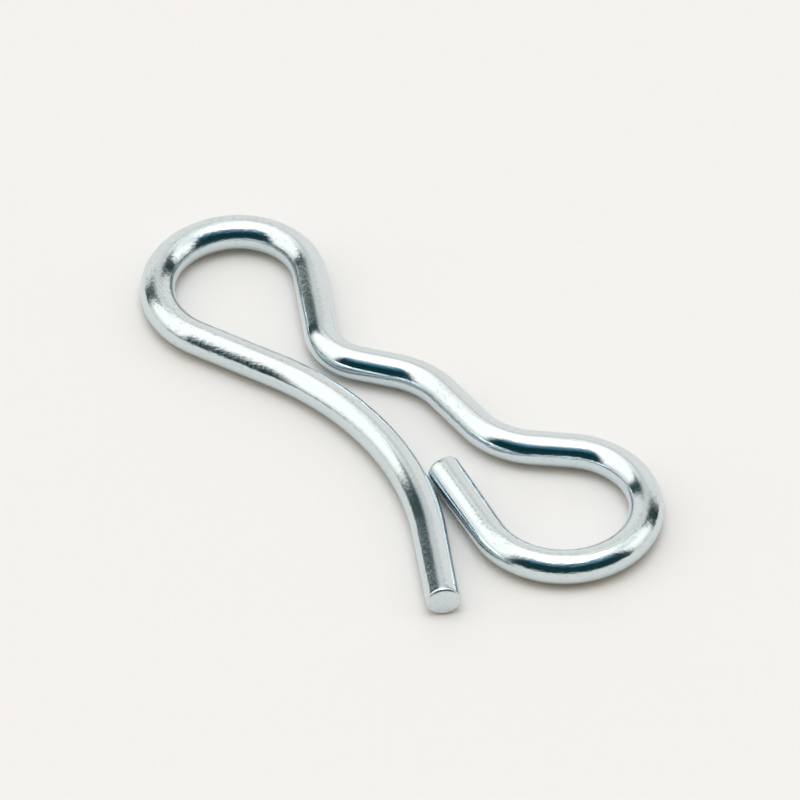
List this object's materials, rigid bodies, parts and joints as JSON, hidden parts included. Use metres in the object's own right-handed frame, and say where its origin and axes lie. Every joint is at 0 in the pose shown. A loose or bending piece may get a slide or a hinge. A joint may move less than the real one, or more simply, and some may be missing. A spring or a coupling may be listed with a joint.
{
  "type": "bow tie cotter pin",
  "caption": "Spring wire cotter pin with a pull ring at one end and a closed loop at the other, pushed through a cross hole to lock a shaft.",
  "frame": {"origin": "on the axis of the shaft that the pin locks, level with the underside of the wire", "axes": "+Z along the shaft's axis and up from the surface the pin lies on; +X along the pin, from the pull ring towards the leg's tip"},
  "size_m": [0.0371, 0.0165, 0.002],
  "materials": {
    "zinc_plated_wire": "bright clear zinc plate on drawn spring wire"
  },
  "bodies": {
    "root": {"cotter_pin": "zinc_plated_wire"}
  },
  "joints": []
}
